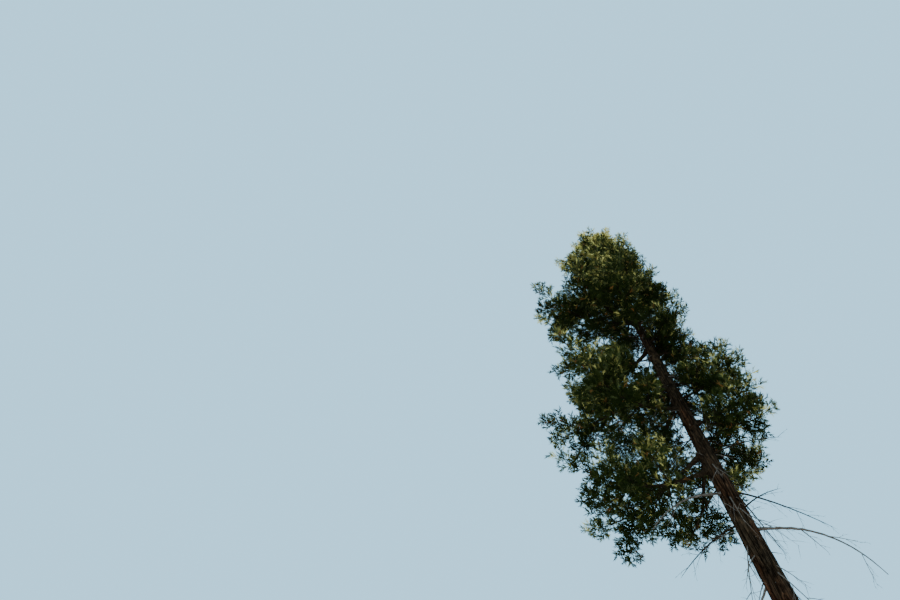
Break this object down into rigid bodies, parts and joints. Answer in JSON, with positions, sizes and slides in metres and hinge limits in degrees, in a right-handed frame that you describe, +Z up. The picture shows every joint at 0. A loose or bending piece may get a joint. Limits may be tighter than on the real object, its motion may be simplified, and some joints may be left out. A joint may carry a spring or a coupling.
{
  "type": "giant sequoia tree",
  "caption": "Tall forest-grown giant sequoia with a straight tapering trunk, flared foot, bare dead limbs low down and clumped scale-leaved foliage above.",
  "frame": {"origin": "middle of the flat cut at ground level, on the trunk's axis", "axes": "+Z up along the trunk; -X towards the side where the crown is widest; -Y towards the side where the living crown starts highest, from which the picture was taken"},
  "size_m": [8.1733, 8.8367, 39.9705],
  "materials": {
    "bark": "deeply furrowed, fibrous, dry",
    "bough_bark": "rough, flaking",
    "dead_wood": "weathered, dry",
    "foliage": "matt scale leaves with a slight waxy sheen"
  },
  "bodies": {
    "root": {"bough_01": "bough_bark", "bough_04": "bough_bark", "bough_06": "bough_bark", "bough_08": "bough_bark", "bough_09": "bough_bark", "bough_11": "bough_bark", "bough_12": "bough_bark", "bough_14": "bough_bark", "bough_16": "bough_bark", "bough_19": "bough_bark", "bough_22": "bough_bark", "bough_27": "bough_bark", "dead_limb_01": "dead_wood", "dead_limb_02": "dead_wood", "dead_limb_03": "dead_wood", "dead_limb_04": "dead_wood", "dead_limb_05": "dead_wood", "dead_limb_06": "dead_wood", "foliage_01": "foliage", "foliage_02": "foliage", "foliage_03": "foliage", "foliage_04": "foliage", "foliage_05": "foliage", "foliage_06": "foliage", "foliage_07": "foliage", "foliage_08": "foliage", "foliage_09": "foliage", "foliage_10": "foliage", "foliage_11": "foliage", "foliage_12": "foliage", "foliage_13": "foliage", "foliage_14": "foliage", "foliage_15": "foliage", "foliage_16": "foliage", "foliage_17": "foliage", "foliage_18": "foliage", "foliage_19": "foliage", "foliage_20": "foliage", "foliage_21": "foliage", "foliage_22": "foliage", "foliage_23": "foliage", "foliage_24": "foliage", "foliage_25": "foliage", "foliage_26": "foliage", "foliage_27": "foliage", "foliage_28": "foliage", "foliage_29": "foliage", "foliage_30": "foliage", "foliage_31": "foliage", "foliage_32": "foliage", "foliage_33": "foliage", "foliage_34": "foliage", "foliage_35": "foliage", "foliage_36": "foliage", "foliage_37": "foliage", "foliage_38": "foliage", "foliage_39": "foliage", "foliage_40": "foliage", "trunk": "bark"}
  },
  "joints": []
}
